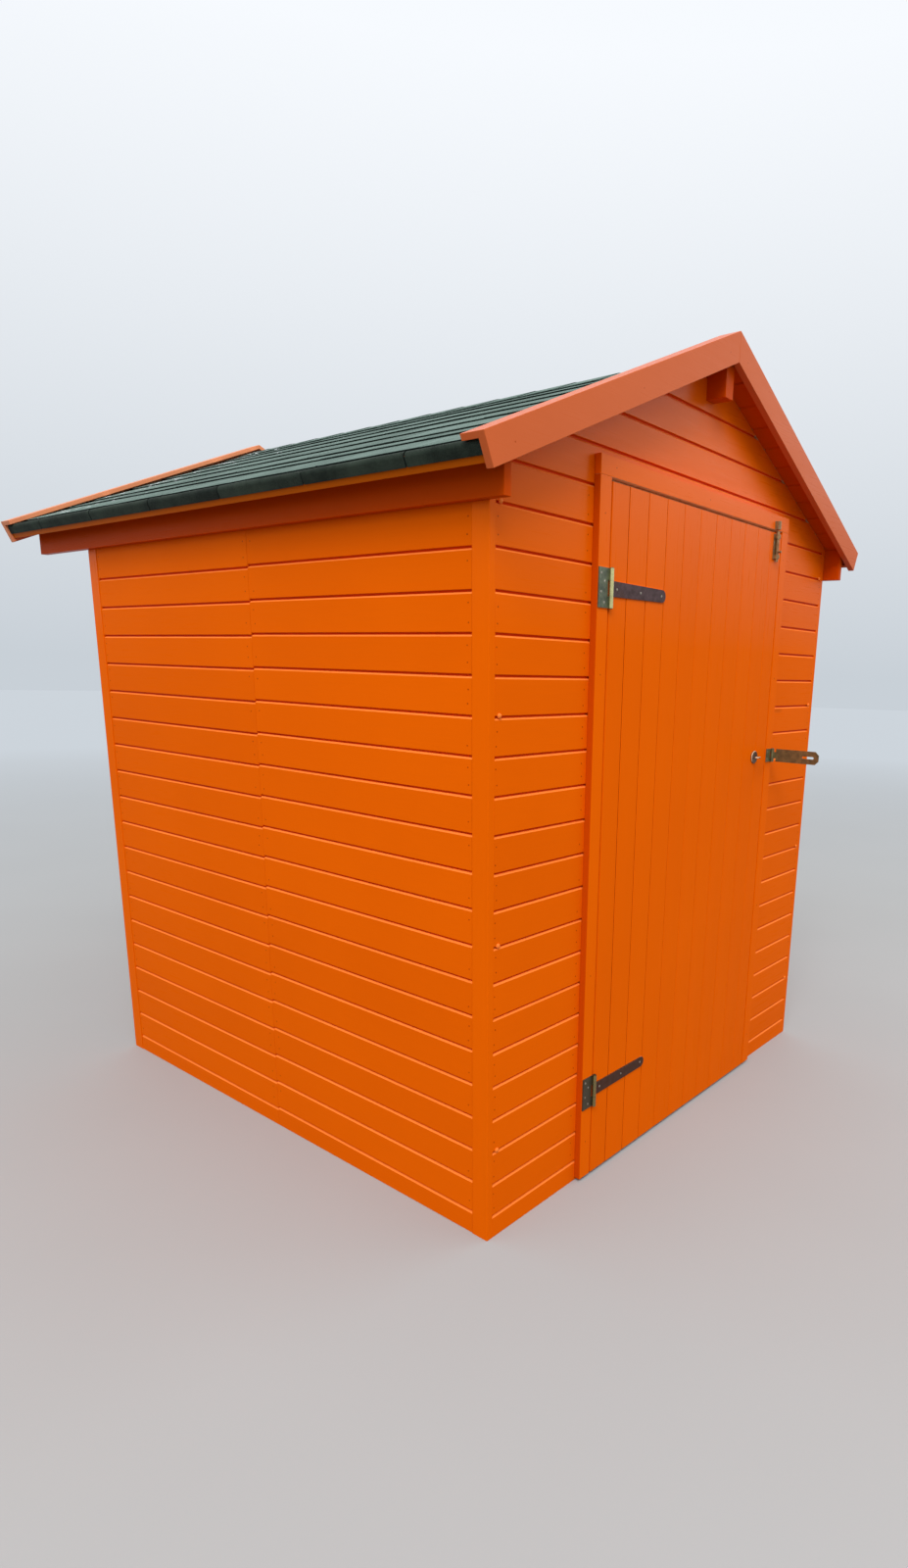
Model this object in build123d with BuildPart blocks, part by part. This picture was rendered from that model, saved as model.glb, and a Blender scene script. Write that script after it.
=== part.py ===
from build123d import *
import os
from math import atan2, cos, radians, sin, tan

# Garden shed with a boarded door in the front gable wall and a felted gable roof.
# Millimetres. X runs to the right along the front wall, Y runs back into the shed, Z is up.
# The origin is on the ground, in the middle of the doorway and of the front wall's thickness.

os.makedirs("parts", exist_ok=True)

# Walls
wall_width = 1768.0  # over the side cladding
wall_depth = 1824.0  # front cladding face to rear cladding face
cladding_t = 18.0
stud_depth = 42.0
stud_w = 45.0
rail_h = 45.0
trim_proud = 1.5  # corner trims stand this far out from the side cladding
trim_w = 52.0
wall_top_drop = 15.0  # top of the side frames below the top of the doorway
panel_joint = 904.0  # where the two panels of a side wall meet, from the front face
timber_gap = 1.0  # joint left between two timbers that butt

# Roof, its layers measured square to the slope from the top of the shingles
roof_pitch = 23.3
roof_seat = 14.5  # top of the side frames to the roof boards, at the side cladding
front_overhang = 84.0
rear_overhang = 398.0
eave_overhang = 75.0  # eaves plate to the felted edge, level
shingle_t = 8.0
felt_t = 3.0
felt_fold_h = 28.0
deck_t = 17.0
fascia_t = 16.0
fascia_drop = 20.0
ridge_felt_w = 110.0
seat_gap = 0.3

# Bargeboards, a little steeper than the roof
barge_t = 20.0
barge_h = 70.0
barge_overhang = 10.0  # felted edge to the lower end of a bargeboard, level
capping_t = 14.0
capping_w = 66.0
front_lift = 24.0  # capping above the shingles at the ridge
rear_lift = 9.0
capping_seat = 0.6  # capping above the shingles at the eaves

# Timbers under the roof
beam_w = 42.0
beam_h = 86.5
plate_t = 22.0
plate_h = 95.0
front_setback = 24.5  # beam ends behind the bargeboard's outer face
rear_setback = 86.0

# Door surround and door
opening_top = 1885.0
surround_t = 20.0
surround_w = 46.0
surround_half = 524.0
post_foot = 9.0
stop_lap = 15.0  # how far the wall's edge reaches past a post into the opening
head_h = 40.0
door_side_gap = 5.5
door_top_gap = 9.0
door_foot = 10.0
door_back_gap = 5.0
ledge_w = 95.0
ledge_t = 18.0
ledge_margin = 28.0
brace_w = 80.0

# Strap hinges
upper_hinge_inset = 256.0  # below the top of the opening
lower_hinge_z = 272.0
hinge_plate_h = 95.0
hinge_plate_margin = 1.0  # plate's edge in from the post's edge
hinge_leaf_t = 3.0
knuckle_r = 6.0
hinge_pin_r = 3.0
pin_clearance = 0.05
pin_head_r = 4.5
pin_head_h = 1.5
knuckle_gap = 0.3
barrel_clearance = 0.2
strap_root_h = 38.0
strap_end_h = 32.0
strap_reach = 258.0
knuckle_room = 18.0  # side of the space cut round a middle knuckle
leaf_root = 12.0  # from a hinge axis to where its leaf widens

# Barrel bolt
bolt_inset = 38.5  # from the door's edge
bolt_plate_w = 34.0
bolt_plate_t = 1.5
bolt_plate_h = 77.0
bolt_plate_inset = 4.0  # below the door's top edge
bolt_r = 5.0
bolt_chamfer = 1.25
bolt_guide_wall = 4.0
bolt_guide_h = 12.0
bolt_guide_margin = 2.0
bolt_tip_gap = 5.0
bolt_tail = 7.0
bolt_knob_gap = 5.0  # knob to the lower guide when the bolt is down
bolt_knob_r = 4.0
bolt_knob_chamfer = 1.0
bolt_knob_out = 15.0
keep_w = 26.0
keep_h = 25.0
keep_wall = 2.0
keep_foot = 1.0  # keep's lower edge above the header's
keep_clearance = 1.0

# Hasp and staple
hasp_z = 1160.0
hasp_h = 44.0
hasp_leaf_t = 2.5
hasp_barrel_r = 6.0
hasp_leaf_margin = 2.0  # leaf's edge in from the post's edge
hasp_reach = 168.0
hasp_slot_centre = 129.5
hasp_slot_l = 42.0
hasp_slot_w = 8.0
hasp_corner = 12.0
rose_r = 21.0
rose_t = 4.5
rose_chamfer = 1.5
staple_rod_r = 2.5
staple_half = 12.0
staple_out = 17.5

# Places that follow from the sizes above
slope = radians(roof_pitch)
face_y = -(cladding_t + stud_depth) / 2
back_y = face_y + wall_depth
side_face = wall_width / 2
clad_inner = side_face - cladding_t
frame_inner = clad_inner - stud_depth
front_in = face_y + cladding_t
front_frame_in = front_in + stud_depth
rear_in = back_y - cladding_t
rear_frame_in = rear_in - stud_depth
joint_y = face_y + panel_joint
wall_top = opening_top - wall_top_drop
deck_bottom = shingle_t + deck_t
deck_under = deck_bottom + seat_gap
rise = clad_inner * tan(slope)
ridge_top = wall_top + roof_seat + rise + deck_under / cos(slope)
plate_face = side_face + plate_t
eave_half = plate_face + eave_overhang
barge_half = eave_half + barge_overhang
roof_front = face_y - front_overhang
roof_rear = back_y + rear_overhang
deck_front = roof_front + barge_t
deck_rear = roof_rear - barge_t
surround_face = face_y - surround_t
post_inner = surround_half - surround_w
opening_half = post_inner - stop_lap
door_half = post_inner - door_side_gap
bolt_x = door_half - bolt_inset
door_top = opening_top - door_top_gap
door_back = face_y - door_back_gap
upper_hinge_z = opening_top - upper_hinge_inset
middle_ledge_z = (lower_hinge_z + upper_hinge_z) / 2
bolt_plate_top = door_top - bolt_plate_inset
bolt_plate_bottom = bolt_plate_top - bolt_plate_h
sides = ((-1, "left"), (1, "right"))


def roof_point(along, down):
    """Point of the right slope's section, along it from the ridge and square down from the felt."""
    x = along * cos(slope) - down * sin(slope)
    z = ridge_top - along * sin(slope) - down * cos(slope)
    return (x, z)


def roof_height(run, down):
    """Height at a level run from the ridge, on the plane that lies this far down in the roof."""
    return ridge_top - run * tan(slope) - down / cos(slope)


def on_side(side, points):
    """The same outline on the left (-1) or the right (1) of the shed."""
    return [(side * x, z) for x, z in points]


def box(x_span, y_span, z_span):
    """Add a squared timber or slab between two values on each axis."""
    spans = [sorted(span) for span in (x_span, y_span, z_span)]
    centre = tuple((low + high) / 2 for low, high in spans)
    with Locations(centre):
        Box(*[high - low for low, high in spans])


def prism(points, front, back):
    """Add a piece with this outline as seen from the front, from Y front to Y back."""
    with BuildSketch(Plane.XZ.offset(-back)) as outline:
        with BuildLine():
            Polyline(*points, close=True)
        make_face()
    extrude(outline.sketch, amount=back - front)


ridge_under = roof_height(0, deck_under)
beam_shoulder = roof_height(beam_w / 2, deck_under)
beam_bottom = beam_shoulder - beam_h
plate_top = roof_height(plate_face, deck_under)
plate_bottom = plate_top - plate_h

# Front wall: a slab each side of the doorway and the gable over it, notched for the ridge beam
for side, name in sides:
    with BuildPart() as front_wall:
        box((side * opening_half, side * clad_inner), (face_y, front_in), (0, wall_top))
    front_wall.part.label = f"front_wall_{name}"
    export_step(front_wall.part, f"parts/front_wall_{name}.step")

eave_corner = (clad_inner, roof_height(clad_inner, deck_under))
gable_top = [eave_corner, (0, ridge_under), (-clad_inner, eave_corner[1])]
doorway_notch = [
    (-opening_half, wall_top),
    (-opening_half, opening_top),
    (opening_half, opening_top),
    (opening_half, wall_top),
]
notch_half = beam_w / 2 + seat_gap

with BuildPart() as front_gable:
    gable_foot = [(-clad_inner, wall_top)] + doorway_notch + [(clad_inner, wall_top)]
    prism(gable_foot + gable_top, face_y, front_in)
    with BuildSketch(Plane.XZ.offset(-front_in)):
        with Locations((0, beam_bottom)):
            Rectangle(2 * notch_half, ridge_top - beam_bottom, align=(Align.CENTER, Align.MIN))
    extrude(amount=cladding_t, mode=Mode.SUBTRACT)
front_gable.part.label = "front_gable"
export_step(front_gable.part, "parts/front_gable.step")

with BuildPart() as rear_wall:
    prism([(-clad_inner, 0), (clad_inner, 0)] + gable_top, rear_in, back_y)
    with BuildSketch(Plane.XZ.offset(-back_y)):
        with Locations((0, beam_bottom)):
            Rectangle(2 * notch_half, ridge_top - beam_bottom, align=(Align.CENTER, Align.MIN))
    extrude(amount=cladding_t, mode=Mode.SUBTRACT)
rear_wall.part.label = "rear_wall"
export_step(rear_wall.part, "parts/rear_wall.step")

# Side walls: two panels each, their tops cut to the slope of the roof
side_outline = [
    (clad_inner, 0),
    (side_face, 0),
    (side_face, roof_height(side_face, deck_under)),
    eave_corner,
]
trim_edges = (face_y + trim_w, back_y - trim_w)
for side, name in sides:
    for place, front, back in (("front", trim_edges[0], joint_y), ("rear", joint_y, trim_edges[1])):
        with BuildPart() as side_wall:
            prism(on_side(side, side_outline), front, back)
        side_wall.part.label = f"{name}_wall_{place}"
        export_step(side_wall.part, f"parts/{name}_wall_{place}.step")

# Wall frames: rails on the ground, studs on the rails, rails along the top of the side walls
side_panels = (
    (front_frame_in + timber_gap, joint_y - timber_gap / 2),
    (joint_y + timber_gap / 2, rear_frame_in - timber_gap),
)

with BuildPart() as bottom_rails:
    box((-clad_inner, clad_inner), (front_in, front_frame_in), (0, rail_h))
    box((-opening_half, opening_half), (face_y, front_in), (0, rail_h))
    box((-clad_inner, clad_inner), (rear_frame_in, rear_in), (0, rail_h))
    for side, _ in sides:
        for panel in side_panels:
            box((side * frame_inner, side * clad_inner), panel, (0, rail_h))
bottom_rails.part.label = "bottom_rails"
export_step(bottom_rails.part, "parts/bottom_rails.step")

top_rail_z = wall_top - rail_h
with BuildPart() as top_rails:
    for side, _ in sides:
        for panel in side_panels:
            box((side * frame_inner, side * clad_inner), panel, (top_rail_z, wall_top))
top_rails.part.label = "top_rails"
export_step(top_rails.part, "parts/top_rails.step")

with BuildPart() as side_studs:
    for side, _ in sides:
        for front, back in side_panels:
            for middle in (front + stud_w / 2, (front + back) / 2, back - stud_w / 2):
                span = (middle - stud_w / 2, middle + stud_w / 2)
                box((side * frame_inner, side * clad_inner), span, (rail_h, top_rail_z))
side_studs.part.label = "side_studs"
export_step(side_studs.part, "parts/side_studs.step")


def gable_studs(depth_span, inner_edge):
    """Add the studs of an end wall: corners, a pair nearer the middle and one under the ridge."""
    for side, _ in sides:
        for edge in (inner_edge, clad_inner - stud_w):
            top = roof_height(edge + stud_w, deck_under)
            box((side * edge, side * (edge + stud_w)), depth_span, (rail_h, top))


with BuildPart() as front_studs:
    gable_studs((front_in, front_frame_in), opening_half)
    box((-stud_w / 2, stud_w / 2), (front_in, front_frame_in), (opening_top, beam_bottom))
front_studs.part.label = "front_studs"
export_step(front_studs.part, "parts/front_studs.step")

with BuildPart() as rear_studs:
    gable_studs((rear_frame_in, rear_in), clad_inner / 2 - stud_w / 2)
    box((-stud_w / 2, stud_w / 2), (rear_frame_in, rear_in), (rail_h, beam_bottom))
rear_studs.part.label = "rear_studs"
export_step(rear_studs.part, "parts/rear_studs.step")

with BuildPart() as door_head:
    box((-opening_half, opening_half), (face_y, front_frame_in), (opening_top - head_h, opening_top))
door_head.part.label = "door_head"
export_step(door_head.part, "parts/door_head.step")

# Corner trims over the ends of the end walls, thinner where the eaves plates cross them
for place, front, back in (("front", face_y, trim_edges[0]), ("rear", trim_edges[1], back_y)):
    with BuildPart() as corner_trims:
        for side, _ in sides:
            prism(on_side(side, side_outline), front, back)
            edges = (side * clad_inner, side * (side_face + trim_proud))
            box(edges, (front, back), (0, plate_bottom - seat_gap))
    corner_trims.part.label = f"corner_trims_{place}"
    export_step(corner_trims.part, f"parts/corner_trims_{place}.step")

# Door surround: two posts and a header across them
for side, name in sides:
    with BuildPart() as door_post:
        edges = (side * post_inner, side * surround_half)
        box(edges, (surround_face, face_y), (post_foot, opening_top))
    door_post.part.label = f"door_post_{name}"
    export_step(door_post.part, f"parts/door_post_{name}.step")

with BuildPart() as door_header:
    header_span = (opening_top, opening_top + surround_w)
    box((-surround_half, surround_half), (surround_face, face_y), header_span)
door_header.part.label = "door_header"
export_step(door_header.part, "parts/door_header.step")

# Ridge beam and eaves plates, bevelled under the roof boards
beam_front = roof_front + front_setback
beam_rear = roof_rear - rear_setback
with BuildPart() as ridge_beam:
    beam_outline = [
        (-beam_w / 2, beam_bottom),
        (beam_w / 2, beam_bottom),
        (beam_w / 2, beam_shoulder),
        (0, ridge_under),
        (-beam_w / 2, beam_shoulder),
    ]
    prism(beam_outline, beam_front, beam_rear)
ridge_beam.part.label = "ridge_beam"
export_step(ridge_beam.part, "parts/ridge_beam.step")

plate_outline = [
    (side_face, plate_bottom),
    (plate_face, plate_bottom),
    (plate_face, plate_top),
    (side_face, roof_height(side_face, deck_under)),
]
for side, name in sides:
    with BuildPart() as eaves_plate:
        prism(on_side(side, plate_outline), beam_front, beam_rear)
    eaves_plate.part.label = f"eaves_plate_{name}"
    export_step(eaves_plate.part, f"parts/eaves_plate_{name}.step")

# Roof: boards, a fascia strip on their lower edge, felt shingles folded down over it
felt_end = eave_half / cos(slope)
fascia_end = felt_end - felt_t
deck_end = fascia_end - fascia_t
deck_outline = [
    (0, roof_height(0, shingle_t)),
    roof_point(deck_end, shingle_t),
    roof_point(deck_end, deck_bottom),
    (0, roof_height(0, deck_bottom)),
]
shingle_outline = [
    (0, ridge_top),
    roof_point(felt_end, 0),
    roof_point(felt_end, felt_fold_h),
    roof_point(fascia_end, felt_fold_h),
    roof_point(fascia_end, shingle_t),
    (0, roof_height(0, shingle_t)),
]
for side, name in sides:
    with BuildPart() as roof_deck:
        prism(on_side(side, deck_outline), deck_front, deck_rear)
    roof_deck.part.label = f"roof_deck_{name}"
    export_step(roof_deck.part, f"parts/roof_deck_{name}.step")

    with BuildPart() as shingles:
        prism(on_side(side, shingle_outline), deck_front, deck_rear)
    shingles.part.label = f"shingles_{name}"
    export_step(shingles.part, f"parts/shingles_{name}.step")

fascia_outline = [
    roof_point(deck_end, shingle_t),
    roof_point(fascia_end, shingle_t),
    roof_point(fascia_end, deck_bottom + fascia_drop),
    roof_point(deck_end, deck_bottom + fascia_drop),
]
with BuildPart() as eave_fascias:
    for side, _ in sides:
        prism(on_side(side, fascia_outline), deck_front, deck_rear)
eave_fascias.part.label = "eave_fascias"
export_step(eave_fascias.part, "parts/eave_fascias.step")

ridge_felt_half = [
    roof_point(ridge_felt_w, -felt_t),
    roof_point(ridge_felt_w, 0),
]
with BuildPart() as ridge_felt:
    chevron = [(0, roof_height(0, -felt_t))] + ridge_felt_half
    chevron += [(0, ridge_top)] + on_side(-1, ridge_felt_half[::-1])
    prism(chevron, roof_front + capping_w, roof_rear - capping_w)
ridge_felt.part.label = "ridge_felt"
export_step(ridge_felt.part, "parts/ridge_felt.step")

# Bargeboards with a capping strip that laps back over the shingles, mitred plumb at the ridge
def rake_outline(side, lift, down):
    """Outline of a board along the rake, this deep, square at its lower end."""
    rake_drop = ridge_top + lift - roof_height(eave_half, 0) - capping_seat
    rake = atan2(rake_drop, eave_half)
    apex = ridge_top + lift + capping_t / cos(rake)
    end_z = apex - barge_half * tan(rake)
    points = [
        (0, apex),
        (barge_half, end_z),
        (barge_half - down * sin(rake), end_z - down * cos(rake)),
        (0, apex - down / cos(rake)),
    ]
    return on_side(side, points)


barge_places = (
    ("front", front_lift, (roof_front, deck_front), (roof_front, roof_front + capping_w)),
    ("rear", rear_lift, (deck_rear, roof_rear), (roof_rear - capping_w, roof_rear)),
)
for place, lift, board_span, capping_span in barge_places:
    for side, name in sides:
        with BuildPart() as bargeboard:
            prism(rake_outline(side, lift, barge_h), *board_span)
            prism(rake_outline(side, lift, capping_t), *capping_span)
        bargeboard.part.label = f"bargeboard_{place}_{name}"
        export_step(bargeboard.part, f"parts/bargeboard_{place}_{name}.step")

# Door: boards in front, three ledges and two braces behind
with BuildPart() as door_boards:
    box((-door_half, door_half), (surround_face, door_back), (door_foot, door_top))
door_boards.part.label = "door_boards"
export_step(door_boards.part, "parts/door_boards.step")

ledge_half = opening_half - ledge_margin
ledge_heights = (lower_hinge_z, middle_ledge_z, upper_hinge_z)
ledge_back = door_back + ledge_t
with BuildPart() as door_ledges:
    for height in ledge_heights:
        span = (height - ledge_w / 2, height + ledge_w / 2)
        box((-ledge_half, ledge_half), (door_back, ledge_back), span)
door_ledges.part.label = "door_ledges"
export_step(door_ledges.part, "parts/door_ledges.step")

with BuildPart() as door_braces:
    for low, high in zip(ledge_heights[:-1], ledge_heights[1:]):
        foot_z = low + ledge_w / 2 + seat_gap
        head_z = high - ledge_w / 2 - seat_gap
        brace_outline = [
            (-ledge_half, foot_z),
            (-ledge_half + brace_w, foot_z),
            (ledge_half, head_z),
            (ledge_half - brace_w, head_z),
        ]
        prism(brace_outline, door_back, ledge_back)
door_braces.part.label = "door_braces"
export_step(door_braces.part, "parts/door_braces.step")

# Strap hinges: a plate with two knuckles on the post, a strap with one between them on the door
hinge_x = -(post_inner + door_half) / 2
hinge_y = surround_face - knuckle_r - barrel_clearance
hinge_heights = (lower_hinge_z, upper_hinge_z)
strap_knuckle_h = strap_root_h - 2 * knuckle_gap
strap_length = strap_reach - strap_end_h / 2


def knuckle(x, y, bottom, height, outer_r, bore_r):
    """Add an upright knuckle with its bore round a hinge axis."""
    with BuildSketch(Plane.XY.offset(bottom)) as ring:
        with Locations((x, y)):
            Circle(outer_r)
            Circle(bore_r, mode=Mode.SUBTRACT)
    extrude(ring.sketch, amount=height)


def leaf_to_knuckle(x_span, y_span, centre_z, height, axis_at, bore_r):
    """Add a leaf that runs up to a hinge axis and clear its bore."""
    box(x_span, y_span, (centre_z - height / 2, centre_z + height / 2))
    with Locations((*axis_at, centre_z)):
        Cylinder(bore_r, height, mode=Mode.SUBTRACT)


hinge_bore_r = hinge_pin_r + pin_clearance
leaf_face = surround_face - hinge_leaf_t
with BuildPart() as hinge_plates:
    for height in hinge_heights:
        leaf_to_knuckle(
            (hinge_plate_margin - surround_half, hinge_x),
            (leaf_face, surround_face),
            height,
            hinge_plate_h,
            (hinge_x, hinge_y),
            hinge_bore_r,
        )
        bottom = height - hinge_plate_h / 2
        knuckle(hinge_x, hinge_y, bottom, hinge_plate_h, knuckle_r, hinge_bore_r)
        with Locations((hinge_x, hinge_y, height)):
            Box(knuckle_room, knuckle_room, strap_root_h, mode=Mode.SUBTRACT)
hinge_plates.part.label = "hinge_plates"
export_step(hinge_plates.part, "parts/hinge_plates.step")

with BuildPart() as hinge_straps:
    for height in hinge_heights:
        leaf_to_knuckle(
            (hinge_x, hinge_x + leaf_root),
            (leaf_face, surround_face),
            height,
            strap_knuckle_h,
            (hinge_x, hinge_y),
            hinge_bore_r,
        )
        bottom = height - strap_knuckle_h / 2
        knuckle(hinge_x, hinge_y, bottom, strap_knuckle_h, knuckle_r, hinge_bore_r)
        with BuildSketch(Plane.XZ.offset(-surround_face)) as strap_outline:
            with BuildLine():
                Polyline(
                    (hinge_x + strap_length, height + strap_end_h / 2),
                    (hinge_x + leaf_root, height + strap_knuckle_h / 2),
                    (hinge_x + leaf_root, height - strap_knuckle_h / 2),
                    (hinge_x + strap_length, height - strap_end_h / 2),
                )
                ThreePointArc(
                    (hinge_x + strap_length, height - strap_end_h / 2),
                    (hinge_x + strap_reach, height),
                    (hinge_x + strap_length, height + strap_end_h / 2),
                )
            make_face()
        extrude(strap_outline.sketch, amount=hinge_leaf_t)
hinge_straps.part.label = "hinge_straps"
export_step(hinge_straps.part, "parts/hinge_straps.step")


def headed_pin(x, y, centre_z, length, shank_r, head_r):
    """Add a pin with a rivet head beyond each end of its knuckles."""
    with Locations((x, y, centre_z)):
        Cylinder(shank_r, length + 2 * pin_head_h)
    for end in (-1, 1):
        with Locations((x, y, centre_z + end * (length + pin_head_h) / 2)):
            Cylinder(head_r, pin_head_h)


# Barrel bolt: a plate with two guide loops on the door, a round bar in them, a keep on the header
bolt_y = surround_face - bolt_plate_t - bolt_r - barrel_clearance
guide_bottoms = (
    bolt_plate_bottom + bolt_guide_margin,
    bolt_plate_top - bolt_guide_margin - bolt_guide_h,
)

with BuildPart() as bolt_plate:
    edges = (bolt_x - bolt_plate_w / 2, bolt_x + bolt_plate_w / 2)
    box(edges, (surround_face - bolt_plate_t, surround_face), (bolt_plate_bottom, bolt_plate_top))
    guide_r = bolt_r + bolt_guide_wall
    for bottom in guide_bottoms:
        with BuildSketch(Plane.XY.offset(bottom)) as guide:
            with Locations((bolt_x, bolt_y)):
                Circle(guide_r)
            with Locations((bolt_x, bolt_y)):
                Rectangle(2 * guide_r, surround_face - bolt_y, align=(Align.CENTER, Align.MIN))
            with Locations((bolt_x, surround_face)):
                Rectangle(
                    2 * guide_r, guide_r, align=(Align.CENTER, Align.MIN), mode=Mode.SUBTRACT
                )
            with Locations((bolt_x, bolt_y)):
                Circle(bolt_r + pin_clearance, mode=Mode.SUBTRACT)
        extrude(guide.sketch, amount=bolt_guide_h)
bolt_plate.part.label = "bolt_plate"
export_step(bolt_plate.part, "parts/bolt_plate.step")

keep_bottom = opening_top + keep_foot
bolt_tip = keep_bottom - bolt_tip_gap
bolt_end = bolt_plate_bottom - bolt_tail
bolt_knob_z = guide_bottoms[0] + bolt_guide_h + bolt_knob_gap + bolt_knob_r
with BuildPart() as bolt_bar:
    with Locations((bolt_x, bolt_y, (bolt_end + bolt_tip) / 2)):
        Cylinder(bolt_r, bolt_tip - bolt_end)
    chamfer(bolt_bar.edges().filter_by(GeomType.CIRCLE).group_by(Axis.Z)[-1], bolt_chamfer)
    with BuildSketch(Plane.XZ.offset(-bolt_y)):
        with Locations((bolt_x, bolt_knob_z)):
            Circle(bolt_knob_r)
    extrude(amount=bolt_knob_out)
    chamfer(bolt_bar.edges().group_by(Axis.Y)[0], bolt_knob_chamfer)
bolt_bar.part.label = "bolt_bar"
export_step(bolt_bar.part, "parts/bolt_bar.step")

with BuildPart() as bolt_keep:
    keep_bore_r = bolt_r + keep_clearance
    keep_r = keep_bore_r + keep_wall
    with BuildSketch(Plane.XY.offset(keep_bottom)) as keep_outline:
        with Locations((bolt_x, surround_face)):
            Rectangle(keep_w, bolt_plate_t, align=(Align.CENTER, Align.MAX))
            Rectangle(2 * keep_r, surround_face - bolt_y, align=(Align.CENTER, Align.MAX))
        with Locations((bolt_x, bolt_y)):
            Circle(keep_r)
            Circle(keep_bore_r, mode=Mode.SUBTRACT)
        with Locations((bolt_x, surround_face)):
            Rectangle(2 * keep_r, keep_r, align=(Align.CENTER, Align.MIN), mode=Mode.SUBTRACT)
            Rectangle(
                2 * keep_bore_r,
                surround_face - bolt_y,
                align=(Align.CENTER, Align.MAX),
                mode=Mode.SUBTRACT,
            )
    extrude(keep_outline.sketch, amount=keep_h)
bolt_keep.part.label = "bolt_keep"
export_step(bolt_keep.part, "parts/bolt_keep.step")

# Hasp: a leaf on the right post, a slotted strap that stands open, a staple on the door
hasp_x = surround_half - hasp_barrel_r
hasp_y = surround_face - hasp_barrel_r - barrel_clearance
hasp_knuckle_h = hasp_h / 2
hasp_bottom = hasp_z - hasp_h / 2

with BuildPart() as hasp_leaf:
    leaf_to_knuckle(
        (post_inner + hasp_leaf_margin, hasp_x),
        (surround_face - hasp_leaf_t, surround_face),
        hasp_z,
        hasp_h,
        (hasp_x, hasp_y),
        hinge_bore_r,
    )
    knuckle(hasp_x, hasp_y, hasp_bottom, hasp_h, hasp_barrel_r, hinge_bore_r)
    with Locations((hasp_x, hasp_y, hasp_z)):
        Box(knuckle_room, knuckle_room, hasp_knuckle_h, mode=Mode.SUBTRACT)
hasp_leaf.part.label = "hasp_leaf"
export_step(hasp_leaf.part, "parts/hasp_leaf.step")

hasp_side = hasp_x + hasp_barrel_r
with BuildPart() as hasp_strap:
    with BuildSketch(Plane.YZ.offset(hasp_side - hasp_leaf_t)):
        with BuildLine():
            Polyline(
                (hasp_y - leaf_root, hasp_z - hasp_h / 2),
                (hasp_y - leaf_root, hasp_z + hasp_h / 2),
                (hasp_y - hasp_reach + hasp_corner, hasp_z + hasp_h / 2),
                (hasp_y - hasp_reach, hasp_z + hasp_h / 2 - hasp_corner),
                (hasp_y - hasp_reach, hasp_z - hasp_h / 2 + hasp_corner),
                (hasp_y - hasp_reach + hasp_corner, hasp_z - hasp_h / 2),
                close=True,
            )
        make_face()
        with Locations((hasp_y - hasp_slot_centre, hasp_z)):
            SlotOverall(hasp_slot_l, hasp_slot_w, mode=Mode.SUBTRACT)
    extrude(amount=hasp_leaf_t)
    inner_h = hasp_knuckle_h - 2 * knuckle_gap
    root_span = (hasp_y - leaf_root, hasp_y)
    box(
        (hasp_side - hasp_leaf_t, hasp_side),
        root_span,
        (hasp_z - inner_h / 2, hasp_z + inner_h / 2),
    )
    knuckle(hasp_x, hasp_y, hasp_z - inner_h / 2, inner_h, hasp_barrel_r, hinge_bore_r)
hasp_strap.part.label = "hasp_strap"
export_step(hasp_strap.part, "parts/hasp_strap.step")

with BuildPart() as hinge_pins:
    for height in hinge_heights:
        headed_pin(hinge_x, hinge_y, height, hinge_plate_h, hinge_pin_r, pin_head_r)
    headed_pin(hasp_x, hasp_y, hasp_z, hasp_h, hinge_pin_r, pin_head_r)
hinge_pins.part.label = "hinge_pins"
export_step(hinge_pins.part, "parts/hinge_pins.step")

staple_x = hasp_x - hasp_slot_centre
rose_face = surround_face - rose_t
with BuildPart() as hasp_staple:
    with BuildSketch(Plane.XZ.offset(-surround_face)):
        with Locations((staple_x, hasp_z)):
            Circle(rose_r)
    extrude(amount=rose_t)
    chamfer(hasp_staple.edges().group_by(Axis.Y)[0], rose_chamfer)
    bend_y = rose_face - staple_out + staple_half
    with BuildLine(Plane.XY.offset(hasp_z)) as staple_line:
        leg_in = Line((staple_x - staple_half, rose_face), (staple_x - staple_half, bend_y))
        crown = ThreePointArc(
            leg_in @ 1, (staple_x, bend_y - staple_half), (staple_x + staple_half, bend_y)
        )
        Line(crown @ 1, (staple_x + staple_half, rose_face))
    with BuildSketch(Plane(origin=leg_in @ 0, z_dir=leg_in % 0)):
        Circle(staple_rod_r)
    sweep(path=staple_line.line)
hasp_staple.part.label = "hasp_staple"
export_step(hasp_staple.part, "parts/hasp_staple.step")
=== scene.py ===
import random
from math import cos, pi, radians, sin, tan

import bmesh
import bpy
from mathutils import Matrix, Vector


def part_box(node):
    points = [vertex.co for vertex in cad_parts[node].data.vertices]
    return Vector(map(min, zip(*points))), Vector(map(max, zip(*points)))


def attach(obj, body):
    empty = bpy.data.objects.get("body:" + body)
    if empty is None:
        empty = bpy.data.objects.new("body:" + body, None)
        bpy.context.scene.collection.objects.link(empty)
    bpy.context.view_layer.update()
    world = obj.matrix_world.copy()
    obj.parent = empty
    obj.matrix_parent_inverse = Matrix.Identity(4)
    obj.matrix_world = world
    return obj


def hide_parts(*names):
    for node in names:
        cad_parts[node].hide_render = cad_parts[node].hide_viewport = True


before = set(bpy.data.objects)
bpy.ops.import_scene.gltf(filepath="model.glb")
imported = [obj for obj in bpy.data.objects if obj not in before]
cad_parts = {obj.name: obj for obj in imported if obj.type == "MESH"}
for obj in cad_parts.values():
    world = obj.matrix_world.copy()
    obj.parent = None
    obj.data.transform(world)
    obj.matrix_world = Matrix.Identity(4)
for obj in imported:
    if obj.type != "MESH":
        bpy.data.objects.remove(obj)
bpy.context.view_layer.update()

random.seed(7)

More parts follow.
